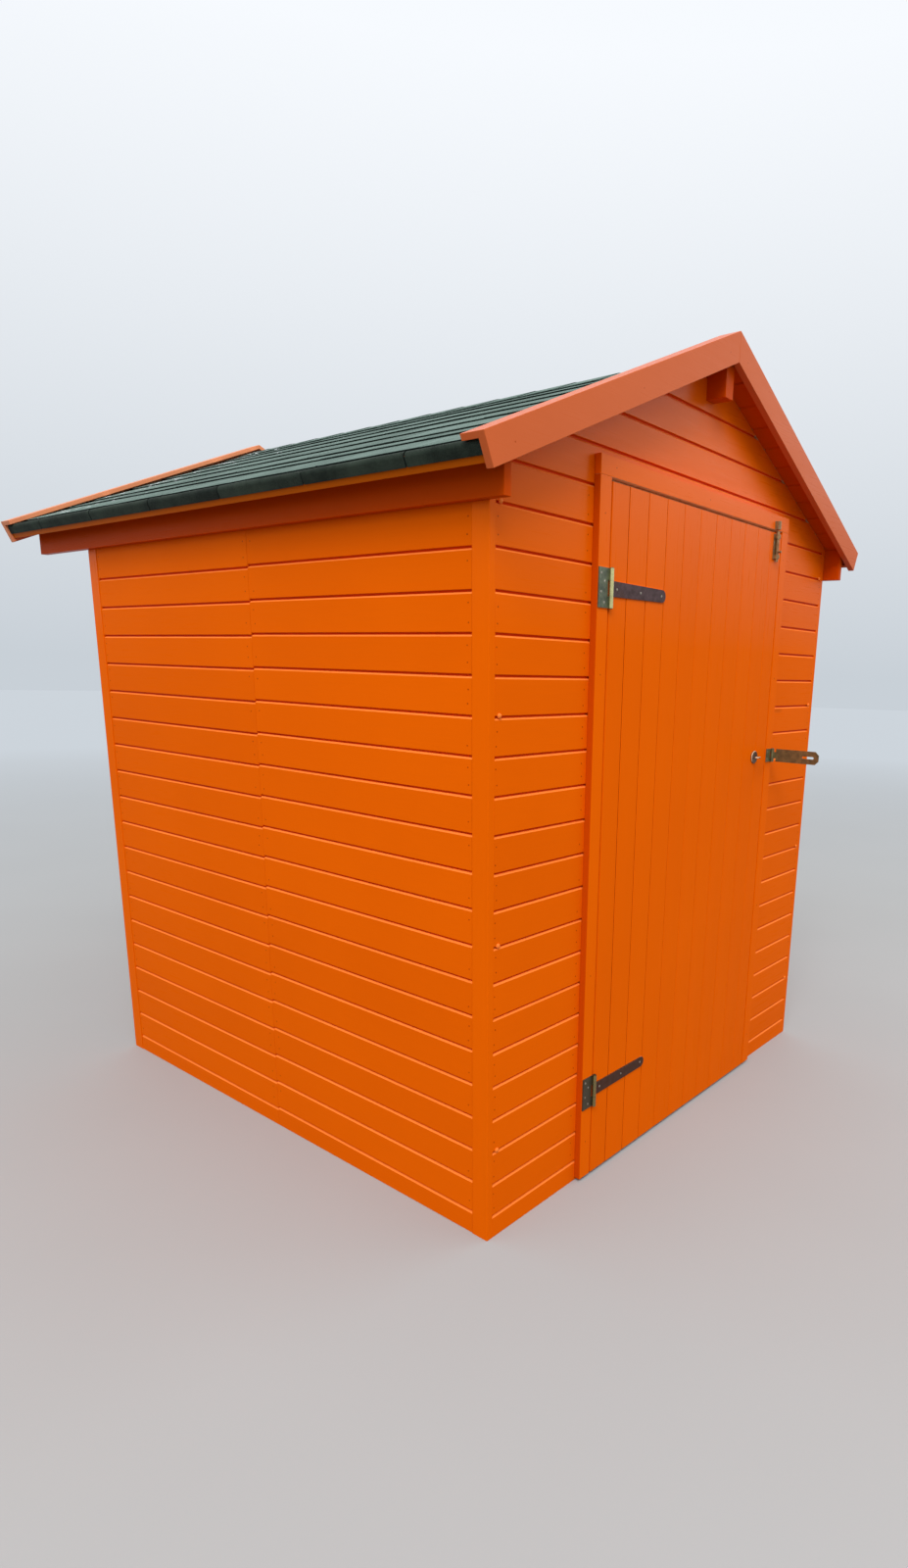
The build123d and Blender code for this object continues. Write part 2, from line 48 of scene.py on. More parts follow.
# Wall boards, in metres like every length that follows
BOARD_COVER = 0.090
FIRST_GROOVE = 0.0654  # height of the lowest joint between boards
LAST_SIDE_GROOVE = 1.70  # the side walls have no groove above this height
REAR_PANEL_DROP = 0.005  # the rear half of each side wall has its boards this much lower
GROOVE_H = 0.0095
GROOVE_D = 0.0058
GROOVE_LIP_H = 0.0044  # the sloping part of a groove, which faces the sky
GROOVE_LIP_D = 0.0046
GROOVE_BACK_RISE = 0.0006  # from the end of the lip to the back of the groove
BOARD_PROUD = 0.0004  # the most that one board stands out from its neighbours
PANEL_GAP = 0.0006
TRIM_GAP = 0.0018  # dark seam between the side walls' boards and the corner trims
EDGE_ROUND = 0.0008
NO_CUT = 99.0  # higher than all, for boards that nothing cuts short

# Door planks
PLANK_COVER = 0.0887
PLANK_SEAMS = 10
PLANK_SEAM_W = 0.0014
OPEN_SEAMS = 3  # seams near the hinges, where the planks have shrunk apart
OPEN_SEAM_W = 0.0024
PLANK_SEAM_D = 0.006
PLANK_CHAMFER = 0.0010
PLANK_PROUD = 0.0005

# Roof boards
ROOF_PITCH = radians(23.3)
BARGE_STEEPER = radians(1.3)  # front bargeboards against the roof
DECK_COVER = 0.096
DECK_CHAMFER = 0.004

# Felt: the courses give what shows of each, from the eave up to the ridge
COURSES = (0.053, 0.158, 0.102, 0.157, 0.148, 0.140, 0.140, 0.140)
COURSE_LAP = 0.02
RIDGE_CLEAR = 0.004
TAB_W = 0.358
FIRST_TAB = 0.224
SHORTEST_TAB = 0.03
TAB_GAP = 0.0025
TAB_SHIFT = 0.0022  # the most that a tab's lower edge is out of line
TAB_END = 0.004  # the part of a tab that lifts most
TAB_WAVE = 0.0006
TAB_EDGE_H = 0.0008  # how far the worn edge of a tab drops
TAB_EDGE_L = 0.0012
SHINGLE_BUTT = 0.0046
THINNEST_FELT = 0.0012
FELT_SEAT = 0.0006  # from the roof boards up to the felt
FELT_T = 0.003
FOLD_ROUND = 0.011
FOLD_STEPS = 5
FOLD_GAP = 0.0045
FOLD_WAVE = 0.0026
FOLD_UNDER = 0.07  # how far the folded strip reaches under the first course
FOLD_DIP_L = 0.006
FOLD_DIP_H = 0.0004
LINING_SHORT = 0.001  # at each end of the slope
LINING_RISE = 0.002  # from the hem up to the lining's lower edge
LINING_DROP = 0.0004  # from the top of the roof boards down to its upper edge
WAVE_STEP = 0.06
WAVE_KEPT = 0.6  # share of a strip's lift that carries on to its next section
WAVE_NEW = 0.5  # share of a fresh lift that is added there
WAVE_ALONG = 0.5  # share of a lift by which the strip also moves down the slope
CAP_L = 0.160
CAP_LAP = 0.02
CAP_T = 0.0018
CAP_SHORT = 0.004
CAP_BEND = 0.02  # from the ridge to where a cap lies flat
CAP_APEX_DROP = 0.0035
CAP_REAR_DROP = 0.0016

# How far single boards, planks and pieces of felt are from their light colour to the dark one
BOARD_TONES = (0.0, 0.35)
PLANK_TONES = (0.0, 0.3)
TAB_TONES = (-0.12, 0.14)
FOLD_TONES = (-0.15, 0.15)
CAP_TONES = (-0.12, 0.12)

# Edges of the pieces, and the faces of the CAD's pieces that have another finish
TIMBER_ROUND = 0.0014
METAL_ROUND = 0.0004
SAME_POINT = 1e-5
SAME_PLANE = 1e-6
FLAT_BELOW = radians(1.0)
SMOOTH_BELOW = radians(24)
EASED_ABOVE = radians(35)
FACING = 0.9  # least share of a face's normal along the direction that it faces
RIM_FACING = 0.2  # the same to the front, for the sloping rim of the staple's rose
EDGE_FACING = 0.5  # the same upwards, for the upper edges of the hinges

# Heads of nails and screws: radius and height
NAIL = (0.0019, 0.0003)
HINGE_SCREW = (0.0033, 0.0012)
BOLT_SCREW = (0.0028, 0.0008)
HASP_SCREW = (0.0035, 0.0010)
CORNER_SCREW = (0.0062, 0.0040)
HEAD_FOOT = 0.0008  # how deep a head is let in
FORWARD = (0, -1, 0)

# Places of the nails
NAIL_RISES = (0.022, 0.058)  # above the joint under a board
NAIL_STRAY = (0.003, 0.005)  # across and up
NAILS_SEEN = 0.7  # the other nails are hidden under the paint
NAIL_FROM_TRIM = 0.014
NAIL_FROM_JOINT = 0.020
NAIL_FROM_END = 0.006
NAIL_FROM_POST = 0.018
REAR_STUD_X = 0.433
POST_NAIL_HEIGHTS = (0.12, 0.62, 1.42, 1.80)
HEADER_NAILS_X = (-0.46, 0.0, 0.46)
BARGE_NAILS_X = (0.90, 0.45, 0.05)
BARGE_NAIL_DROP = 0.042

# Places of the screws
CORNER_SCREW_IN = 0.015  # from the end of an end wall
CORNER_SCREW_GROOVES = (2, 8, 14, 19)  # board joints that hold one, counted from the lowest
HINGE_LEAF_T = 0.003
PIN_HEAD_R = 0.0045
STRAP_H = 0.038
STRAP_SCREWS = (0.030, 0.137, 0.238)  # along a strap from its hinge axis
PLATE_SCREWS = ((0.010, 0.034), (0.024, 0.016), (0.010, -0.010), (0.024, -0.034))
BOLT_PLATE_T = 0.0015
BOLT_SCREW_IN = 0.005
BOLT_SCREW_UP = 0.026
HASP_LEAF_T = 0.0025
HASP_SCREW_IN = 0.008
HASP_SCREW_UP = 0.012

# Camera of the photograph
PHOTO_SIZE = (927, 1600)
FOCAL_PX = 889.6
AXIS_PX = (591.2, 894.6)
SENSOR_MM = 36.0
CAMERA_AT = Vector((-2.315, -1.379, 1.4325))
CAMERA_YAW = radians(52.78)
CAMERA_PITCH = radians(-13.39)
CAMERA_ROLL = radians(1.62)

# Studio
HORIZON = (0.58, 0.63, 0.68)  # colour of the backdrop where it meets the floor
ZENITH = (0.93, 0.96, 1.0)
ZENITH_FROM = 0.5  # upward share of a direction from which the backdrop has that colour
FLOOR_R = 40.0
FLOOR_FADES = (3.0, 14.0)  # from the doorway, where the floor turns into the backdrop
FLOOR_UNSEEN = (0.18, 0.18, 0.18)  # what the floor gives back to the shed
KEY_BOX = {
    "size": (8.0, 6.5),
    "watts": 1500.0,
    "place": Vector((-7.9, -5.8, 12.2)),
    "target": Vector((0.0, 0.9, 1.0)),
}
FRONT_BOX = {
    "size": (6.0, 2.4),
    "watts": 72.0,
    "place": Vector((6.8, -4.2, 4.4)),
    "target": Vector((0.0, 0.0, 1.9)),
}


# Meshes
def add_ring(bm, points, tone):
    """Adds a ring of vertices that carry the tone of their board."""
    layer = bm.verts.layers.float.get("tone") or bm.verts.layers.float.new("tone")
    ring = [bm.verts.new(point) for point in points]
    for vertex in ring:
        vertex[layer] = tone
    return ring


def join_rings(bm, one, two, finish=lambda i, j: 0):
    """Adds the faces between two rings; finish picks a face's material from its two points."""
    for i in range(len(one)):
        j = (i + 1) % len(one)
        bm.faces.new((one[i], one[j], two[j], two[i])).material_index = finish(i, j)


def add_prism(bm, outline, steps, place, tone, finish):
    """Adds a closed prism along a board; finish picks a face's material from its edge and place."""
    rings = [add_ring(bm, [place(a, b, step) for a, b in outline], tone) for step in steps]
    for k, (one, two) in enumerate(zip(rings[:-1], rings[1:])):
        middle = (steps[k] + steps[k + 1]) / 2
        join_rings(bm, one, two, lambda i, j: finish(outline[i], outline[j], middle))
    bm.faces.new(rings[0][::-1])
    bm.faces.new(rings[-1])


def add_strip(bm, outline, start, end, place, tone, cut_sides, wave):
    """Adds a strip of felt along the eave with a slight wave; its ends and cut_sides show the cut in
    near-black felt, partly painted shade.
    """
    sections = max(2, round((end - start) / WAVE_STEP))
    rings = []
    lift = random.uniform(-wave, wave)
    for i in range(sections + 1):
        y = start + (end - start) * i / sections
        lift = WAVE_KEPT * lift + random.uniform(-wave, wave) * WAVE_NEW
        points = [
            place(height + lift * loose, along + lift * loose * WAVE_ALONG, y)
            for height, along, loose in outline
        ]
        rings.append(add_ring(bm, points, tone))
    for one, two in zip(rings[:-1], rings[1:]):
        join_rings(bm, one, two, lambda i, j: int((i, j) in cut_sides))
    for ring in (rings[0][::-1], rings[-1]):
        bm.faces.new(ring).material_index = 1


def soften(bm):
    """Smooth shading, with edges kept sharp where faces turn by more than a little."""
    bmesh.ops.recalc_face_normals(bm, faces=bm.faces)
    for face in bm.faces:
        face.smooth = True
    for edge in bm.edges:
        edge.smooth = len(edge.link_faces) == 2 and edge.calc_face_angle(0) < SMOOTH_BELOW


def piece(name, bm, materials, body, replaces=()):
    """Turns the mesh into an object that rides on a body and may stand for CAD nodes."""
    soften(bm)
    mesh = bpy.data.meshes.new(name)
    bm.to_mesh(mesh)
    bm.free()
    for material in materials:
        mesh.materials.append(material)
    obj = bpy.data.objects.new(name, mesh)
    bpy.context.scene.collection.objects.link(obj)
    weighted = obj.modifiers.new("weighted_normals", "WEIGHTED_NORMAL")
    weighted.keep_sharp = True
    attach(obj, body)
    if replaces:
        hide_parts(*replaces)


def cut_beyond(bm, point, normal):
    """Removes what lies on the normal's side of a plane and closes the cut."""
    geometry = bm.verts[:] + bm.edges[:] + bm.faces[:]
    result = bmesh.ops.bisect_plane(
        bm, geom=geometry, plane_co=point, plane_no=normal, clear_outer=True, dist=SAME_PLANE
    )
    edges = [item for item in result["geom_cut"] if isinstance(item, bmesh.types.BMEdge)]
    bmesh.ops.holes_fill(bm, edges=edges, sides=0)


def dressed(node, materials, body, round_by, finish=None):
    """A copy of a CAD piece with its edges eased; finish picks a face's material."""
    bm = bmesh.new()
    bm.from_mesh(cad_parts[node].data)
    bmesh.ops.remove_doubles(bm, verts=bm.verts, dist=SAME_POINT)
    bmesh.ops.dissolve_limit(bm, angle_limit=FLAT_BELOW, verts=bm.verts, edges=bm.edges)
    sharp = [
        edge
        for edge in bm.edges
        if len(edge.link_faces) == 2 and edge.calc_face_angle(0) > EASED_ABOVE
    ]
    bmesh.ops.bevel(
        bm, geom=sharp, offset=round_by, segments=2, profile=0.5, affect="EDGES", clamp_overlap=True
    )
    if finish:
        for face in bm.faces:
            face.material_index = int(finish(face))
    piece(node + "_dressed", bm, materials, body, replaces=(node,))


# Materials
class Nodes:
    """Short ways to add nodes to a tree."""

    def __init__(self, tree):
        self.tree = tree

    def put(self, socket, value):
        if isinstance(value, bpy.types.NodeSocket):
            self.tree.links.new(value, socket)
        else:
            socket.default_value = value

    def node(self, kind, inputs=None, **settings):
        made = self.tree.nodes.new(kind)
        for key, value in settings.items():
            setattr(made, key, value)
        for key, value in (inputs or {}).items():
            self.put(made.inputs[key], value)
        return made

    def place(self, stretch=(1, 1, 1)):
        """Object coordinates, scaled on each axis."""
        coordinates = self.node("ShaderNodeTexCoord")
        mapping = self.node("ShaderNodeMapping", {0: coordinates.outputs["Object"], 3: stretch})
        return mapping.outputs[0]

    def axis(self, place, name):
        return self.node("ShaderNodeSeparateXYZ", {0: place}).outputs[name]

    def noise(self, place, scale, detail=4.0, rough=0.55, distortion=0.0):
        inputs = {
            "Vector": place,
            "Scale": scale,
            "Detail": detail,
            "Roughness": rough,
            "Distortion": distortion,
        }
        return self.node("ShaderNodeTexNoise", inputs).outputs["Fac"]

    def range(self, value, low, high, to_low, to_high):
        made = self.node("ShaderNodeMapRange", {0: value, 1: low, 2: high, 3: to_low, 4: to_high})
        return made.outputs[0]

    def math(self, operation, one, two):
        made = self.node("ShaderNodeMath", {0: one, 1: two}, operation=operation)
        return made.outputs[0]

    def mix(self, factor, one, two):
        """Mixes two colours, each a socket or red, green and blue."""
        made = self.node("ShaderNodeMix", data_type="RGBA")
        self.put(made.inputs[0], factor)
        for socket, colour in ((made.inputs[6], one), (made.inputs[7], two)):
            self.put(socket, (*colour, 1) if isinstance(colour, tuple) else colour)
        return made.outputs[2]


class Shader(Nodes):
    """A new material and the sockets of its surface."""

    def __init__(self, name):
        self.material = bpy.data.materials.new(name)
        self.material.use_nodes = True
        super().__init__(self.material.node_tree)
        self.bsdf = self.tree.nodes["Principled BSDF"]

    def set(self, **inputs):
        names = {key.lower().replace(" ", "_"): key for key in self.bsdf.inputs.keys()}
        for key, value in inputs.items():
            self.put(self.bsdf.inputs[names[key]], value)

    def bump(self, height, strength, distance):
        inputs = {"Height": height, "Strength": strength, "Distance": distance}
        self.set(normal=self.node("ShaderNodeBump", inputs).outputs[0])

    def tone(self):
        """How dark the mesh has this board."""
        return self.node("ShaderNodeAttribute", attribute_name="tone").outputs["Fac"]


def stretched(grain, along=1.2, across=30.0):
    """Scale of a pattern that is drawn out along the grain's axis."""
    return tuple(along if axis == grain else across for axis in "xyz")


WALL_GLOSS = (0.008, 0.12)  # shine of the paint near the ground and under the eaves
SIDE_GLOSS = (0.007, 0.007)
MATT = (0.02, 0.02)
DULL = (0.05, 0.05)
GLOSS_FROM_Z = 1.50
GLOSS_TO_Z = 1.90
SHINE_TINT = (1.0, 0.42, 0.10)
KNOT = (0.36, 0.045, 0.002)
KNOT_SCALE = 1.6
KNOT_STRENGTH = 0.28


def paint(name, grain, light=(0.88, 0.131, 0.0006), dark=(0.77, 0.106, 0.0005), gloss=WALL_GLOSS):
    """Orange paint, brushed along the grain; gloss is its shine near the ground and under the eaves."""
    s = Shader(name)
    brush = s.noise(s.place(stretched(grain)), 6.0, detail=6.0, rough=0.6)
    patches = s.noise(s.place(), 2.3, detail=3.0)
    tone = s.math("ADD", s.tone(), s.range(patches, 0.3, 0.7, 0.0, 0.25))
    tone = s.math("ADD", tone, s.range(brush, 0.35, 0.65, -0.05, 0.05))
    colour = s.mix(tone, light, dark)
    inputs = {"Vector": s.place(stretched(grain, 1.0, 3.2)), "Scale": KNOT_SCALE}
    cells = s.node("ShaderNodeTexVoronoi", inputs).outputs
    knot = s.range(cells["Distance"], 0.035, 0.075, 1.0, 0.0)
    chosen = s.node("ShaderNodeSeparateColor", {0: cells["Color"]}).outputs[0]
    knot = s.math("MULTIPLY", knot, s.range(chosen, 0.62, 0.66, 0.0, KNOT_STRENGTH))
    colour = s.mix(knot, colour, KNOT)
    s.set(base_color=colour, roughness=s.range(brush, 0.3, 0.7, 0.24, 0.38))
    low, high = gloss
    if low == high:
        s.set(specular_ior_level=low)
    else:
        height = s.axis(s.place(), "Z")
        s.set(specular_ior_level=s.range(height, GLOSS_FROM_Z, GLOSS_TO_Z, low, high))
    s.set(specular_tint=(*SHINE_TINT, 1))
    s.bump(brush, 0.18, 0.0008)
    return s.material


FIBRE = (0.62, 0.45, 0.27)


def bare_timber(name, grain, light=(0.56, 0.36, 0.18), dark=(0.33, 0.17, 0.07)):
    """Sawn softwood with its growth rings drawn out along the grain."""
    s = Shader(name)
    rings = s.noise(s.place(stretched(grain)), 2.6, detail=8.0, rough=0.62, distortion=0.35)
    fibre = s.noise(s.place(stretched(grain)), 16.0, detail=3.0)
    colour = s.mix(s.range(rings, 0.36, 0.64, 0.0, 1.0), light, dark)
    colour = s.mix(s.range(fibre, 0.4, 0.7, 0.0, 0.4), colour, FIBRE)
    s.set(base_color=colour, roughness=s.range(fibre, 0.3, 0.7, 0.62, 0.85))
    s.bump(s.math("ADD", rings, fibre), 0.35, 0.0010)
    return s.material


FLECK = (0.86, 0.89, 0.90)
FLECK_SCALE = 27.0
FLECKS_FROM_Y = 1.0
FLECKS_TO_Y = 2.1


def roof_felt(name, light, dark, flecks=False, mottled=0.6):
    """Felt faced with crushed slate; white flecks lie on the rear of the roof."""
    s = Shader(name)
    place = s.place()
    grit = s.noise(place, 520.0, detail=2.0, rough=0.7)
    mottle = s.noise(place, 9.0, detail=6.0, rough=0.65)
    grey = s.range(grit, 0.35, 0.65, -0.1, 0.45)
    grey = s.math("ADD", grey, s.range(mottle, 0.35, 0.7, 0.0, mottled))
    colour = s.mix(s.math("ADD", grey, s.tone()), light, dark)
    if flecks:
        flake = s.noise(s.place((1, 0.7, 1)), FLECK_SCALE, detail=5.0, rough=0.6)
        rearward = s.range(s.axis(place, "Y"), FLECKS_FROM_Y, FLECKS_TO_Y, -0.10, 0.085)
        spot = s.range(s.math("ADD", flake, rearward), 0.665, 0.690, 0.0, 1.0)
        colour = s.mix(spot, colour, FLECK)
    s.set(base_color=colour, roughness=s.range(grit, 0.3, 0.7, 0.55, 0.85))
    s.set(specular_ior_level=0.12)
    s.bump(s.math("ADD", grit, s.math("MULTIPLY", mottle, 0.6)), 0.6, 0.0012)
    return s.material


LOW_FROM_Z = 0.6
LOW_TO_Z = 1.2


def metal(name, light, dark, rust, metallic, rough, low=None, shine=0.5):
    """Plated steel with a patchy, weathered skin; low is its colour near the ground."""
    s = Shader(name)
    patches = s.noise(s.place(), 60.0, detail=7.0, rough=0.65)
    cloud = s.noise(s.place(), 14.0, detail=3.0)
    colour = s.mix(s.range(patches, 0.38, 0.62, 0.0, 1.0), light, dark)
    colour = s.mix(s.range(cloud, 0.55, 0.75, 0.0, 0.8), colour, rust)
    if low:
        near_ground = s.range(s.axis(s.place(), "Z"), LOW_FROM_Z, LOW_TO_Z, 0.85, 0.0)
        colour = s.mix(near_ground, colour, low)
    s.set(base_color=colour, roughness=s.range(patches, 0.3, 0.7, rough - 0.08, rough + 0.12))
    s.set(metallic=metallic, specular_ior_level=shine)
    s.bump(patches, 0.15, 0.0003)
    return s.material


def stage_floor(name):
    """Plain pale floor, which fades into the backdrop and sends little light up under the eaves."""
    s = Shader(name)
    place = s.place()
    shade = s.noise(place, 0.8, detail=2.0)
    distance = s.node("ShaderNodeVectorMath", {0: place}, operation="LENGTH").outputs["Value"]
    away = s.range(distance, *FLOOR_FADES, 0.0, 1.0)
    pale = s.mix(shade, (0.39, 0.388, 0.38), (0.42, 0.418, 0.41))
    pale = s.mix(away, pale, (0.0, 0.0, 0.0))
    path = s.node("ShaderNodeLightPath").outputs
    seen = s.math("ADD", path["Is Camera Ray"], path["Is Glossy Ray"])
    seen = s.math("ADD", seen, path["Is Transmission Ray"])
    s.set(base_color=s.mix(seen, FLOOR_UNSEEN, pale), roughness=0.9)
    s.set(specular_ior_level=0.1, emission_color=(*HORIZON, 1))
    s.set(emission_strength=s.math("MULTIPLY", seen, away))
    return s.material


paint_x = paint("orange_paint_x", "x")
paint_y = paint("orange_paint_y", "y", gloss=SIDE_GLOSS)
paint_z = paint("orange_paint_z", "z")
# Paler, pinker orange on the front bargeboards: painted sky sheen.
barge_painted_sheen = paint("orange_paint_painted_sheen", "x", (0.65, 0.130, 0.036), (0.55, 0.104, 0.025), DULL)
# Lighter, pinker paint on the grooves' lips and the corner screws' heads: painted highlight where they
# face the sky.
lip_painted_highlight = paint("groove_lip_painted_highlight", "y", (0.96, 0.225, 0.036), (0.88, 0.185, 0.026))
# Darker red paint at the backs of the grooves: painted shade in the recess.
groove_painted_shade = paint("groove_painted_shade", "y", (0.78, 0.050, 0.0004), (0.66, 0.040, 0.0004), MATT)
# Darker paint in the seams between the door's planks: painted shade.
seam_painted_shade = paint("seam_painted_shade", "z", (0.52, 0.046, 0.0004), (0.42, 0.036, 0.0004), MATT)
# Darker paint on the eaves plates, ridge beam and the roof boards past the walls: painted shade under
# the roof.
eave_painted_shade = paint("eave_painted_shade", "y", (0.60, 0.064, 0.0006), (0.50, 0.052, 0.0005), MATT)
# Darker paint on the fascias under the felt's fold: painted shade.
fascia_painted_shade = paint("fascia_painted_shade", "y", (0.52, 0.100, 0.003), (0.42, 0.078, 0.002), MATT)
bleached_paint = paint("bleached_paint", "x", (0.78, 0.28, 0.13), (0.68, 0.19, 0.08), DULL)
# Darker paint on the outer side of the left door post: painted shade.
post_side_painted_shade = paint("post_side_painted_shade", "z", (0.60, 0.072, 0.0006), (0.52, 0.062, 0.0006), MATT)
nail_paint = paint("nail_paint", "z", (0.44, 0.052, 0.001), (0.30, 0.032, 0.001))

timber_x = bare_timber("softwood_x", "x")
timber_y = bare_timber("softwood_y", "y")
timber_z = bare_timber("softwood_z", "z")
# Bare timber made much paler for the narrow gap over the door: painted light where little light
# reaches.
timber_painted_light = bare_timber("softwood_painted_light", "x", (0.93, 0.74, 0.42), (0.84, 0.60, 0.30))

felt = roof_felt("roof_felt", (0.162, 0.228, 0.196), (0.070, 0.106, 0.088), flecks=True)
# A far darker copy of the felt where it folds down over the eave: painted shade.
fold_felt_painted_shade = roof_felt(
    "roof_felt_fold_painted_shade", (0.032, 0.046, 0.032), (0.005, 0.009, 0.006), mottled=0.9
)
# Near-black felt on cut edges and the butts of the tabs: the dark bitumen of the cut, made darker still
# as painted shade under each course.
felt_cut_and_shade = roof_felt("roof_felt_cut_and_painted_shade", (0.008, 0.014, 0.011), (0.004, 0.007, 0.006))

zinc = metal(
    "zinc_plate",
    light=(0.13, 0.145, 0.085),
    dark=(0.06, 0.070, 0.045),
    rust=(0.14, 0.095, 0.095),
    metallic=0.5,
    rough=0.36,
    low=(0.055, 0.036, 0.016),
)
# Bright copy of the zinc on the hinges' knuckles: painted highlight.
knuckle_painted_highlight = metal(
    "knuckle_painted_highlight",
    light=(0.78, 0.72, 0.34),
    dark=(0.55, 0.52, 0.24),
    rust=(0.35, 0.26, 0.10),
    metallic=0.9,
    rough=0.24,
    low=(0.20, 0.15, 0.06),
)
brown_steel = metal(
    "brown_steel",
    light=(0.085, 0.045, 0.046),
    dark=(0.045, 0.022, 0.020),
    rust=(0.08, 0.030, 0.013),
    metallic=0.25,
    rough=0.38,
    low=(0.060, 0.020, 0.008),
    shine=0.15,
)
brass_zinc = metal(
    "yellow_zinc",
    light=(0.23, 0.19, 0.080),
    dark=(0.12, 0.105, 0.048),
    rust=(0.19, 0.17, 0.12),
    metallic=0.5,
    rough=0.34,
)
bolt_steel = metal(
    "bolt_steel",
    light=(0.42, 0.25, 0.11),
    dark=(0.18, 0.080, 0.030),
    rust=(0.46, 0.36, 0.22),
    metallic=0.6,
    rough=0.32,
)
rose_steel = metal(
    "rose_steel",
    light=(0.11, 0.058, 0.036),
    dark=(0.055, 0.020, 0.008),
    rust=(0.20, 0.13, 0.09),
    metallic=0.3,
    rough=0.4,
)
# Bright steel on the upper edges of the hinges and the top of the staple's rose: painted highlight.
rim_painted_highlight = metal(
    "rim_painted_highlight",
    light=(0.90, 0.62, 0.42),
    dark=(0.66, 0.40, 0.24),
    rust=(0.40, 0.18, 0.08),
    metallic=0.4,
    rough=0.28,
)
screw_zinc = metal(
    "screw_zinc",
    light=(0.42, 0.38, 0.31),
    dark=(0.20, 0.16, 0.12),
    rust=(0.14, 0.08, 0.04),
    metallic=0.7,
    rough=0.32,
)


# Places taken from the frame
wall_face = {
    "left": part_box("left_wall_front")[0].x,
    "right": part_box("right_wall_front")[1].x,
    "front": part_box("front_gable")[0].y,
    "rear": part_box("rear_wall")[1].y,
}
end_wall = (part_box("front_gable")[0].x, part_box("front_gable")[1].x)
opening = (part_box("front_wall_left")[1].x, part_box("front_wall_right")[0].x)
opening_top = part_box("door_header")[0].z
wall_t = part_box("left_wall_front")[1].x - wall_face["left"]
beam_low, beam_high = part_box("ridge_beam")
plate_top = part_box("eaves_plate_right")[1].z


# Walls
def wall_place(wall):
    """Turns depth behind a wall's face, height and length along it into a point."""
    at = wall_face[wall]
    return {
        "left": lambda depth, height, along: (at + depth, along, height),
        "right": lambda depth, height, along: (at - depth, along, height),
        "front": lambda depth, height, along: (along, at + depth, height),
        "rear": lambda depth, height, along: (along, at - depth, height),
    }[wall]


def board_outline(low, high, grooved):
    """Section of a wall board: square foot, and a top that slopes back behind the board above."""
    back = wall_t - EDGE_ROUND
    points = [
        (wall_t, low + EDGE_ROUND),
        (back, low),
        (EDGE_ROUND, low),
        (0, low + EDGE_ROUND),
    ]
    if grooved:
        lip = high - GROOVE_H
        points += [
            (0, lip),
            (GROOVE_LIP_D, lip + GROOVE_LIP_H),
            (GROOVE_D, lip + GROOVE_LIP_H + GROOVE_BACK_RISE),
            (GROOVE_D, high),
        ]
    else:
        points += [(0, high)]
    return points + [(back, high), (wall_t, high - EDGE_ROUND)]


def board_finish(one, two, middle):
    """Material of a board's face: 1 looks into the shed, 2 is a groove's lip with a painted highlight,
    3 its back with painted shade.
    """
    near, far = sorted((one[0], two[0]))
    if near > wall_t / 2:
        return 1
    if far - near > GROOVE_LIP_D / 2 and abs(one[1] - two[1]) > GROOVE_LIP_H / 2:
        return 2
    return 3 if near > GROOVE_LIP_D / 2 and far < wall_t / 2 else 0


def pushed_in(outline, by, thick):
    """An outline with its outer half moved inwards."""
    return [(depth + by if depth < thick / 2 else depth, along) for depth, along in outline]


def add_boards(bm, wall, spans, top, drop=0.0, last_groove=None):
    """Covers a wall with boards; spans(low, high) gives the stretches of one board."""
    place = wall_place(wall)
    low = 0.0
    high = FIRST_GROOVE - drop
    while low < top:
        if last_groove and high > last_groove:
            high = top + BOARD_COVER
        tone = random.uniform(*BOARD_TONES)
        inwards = random.uniform(0.0, BOARD_PROUD)
        for start, end, bottom, cut in spans(low, high):
            outline = board_outline(max(low, bottom), min(high, cut), grooved=cut >= high)
            outline = pushed_in(outline, inwards, wall_t)
            add_prism(bm, outline, (start, end), place, tone, board_finish)
        low = high
        high += BOARD_COVER


def trim_under_roof(bm):
    """Trims what reaches above the underside of the roof boards."""
    for side in (-1, 1):
        foot = Vector((side * wall_face["right"], 0, plate_top))
        cut_beyond(bm, foot, Vector((side * sin(ROOF_PITCH), 0, cos(ROOF_PITCH))))


def gable_spans(doorway):
    """Stretches of an end wall's boards, clear of the ridge beam and the doorway."""

    def spans(low, high):
        left, right = end_wall
        if doorway and low < opening_top:
            yield (left, opening[0], low, NO_CUT)
            yield (opening[1], right, low, NO_CUT)
            if high > opening_top:
                yield (opening[0], opening[1], opening_top, NO_CUT)
        elif high > beam_low.z:
            yield (left, beam_low.x, low, NO_CUT)
            yield (beam_high.x, right, low, NO_CUT)
            if low < beam_low.z:
                yield (beam_low.x, beam_high.x, low, beam_low.z)
        else:
            yield (left, right, low, NO_CUT)

    return spans


def panel_spans(start, end):
    """Every board of a side wall's panel runs from its start to its end."""
    return lambda low, high: [(start, end, low, NO_CUT)]


def make_end_wall(wall, doorway, nodes):
    bm = bmesh.new()
    add_boards(bm, wall, gable_spans(doorway), beam_high.z)
    trim_under_roof(bm)
    coats = [paint_x, timber_x, lip_painted_highlight, groove_painted_shade]
    piece(f"{wall}_cladding", bm, coats, "shed", nodes)


def make_side_panel(wall, half, gaps, drop):
    low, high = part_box(f"{wall}_wall_{half}")
    spans = panel_spans(low.y + gaps[0], high.y - gaps[1])
    bm = bmesh.new()
    add_boards(bm, wall, spans, high.z, drop, LAST_SIDE_GROOVE)
    trim_under_roof(bm)
    coats = [paint_y, timber_y, lip_painted_highlight, groove_painted_shade]
    nodes = (f"{wall}_wall_{half}",)
    piece(f"{wall}_cladding_{half}", bm, coats, "shed", nodes)


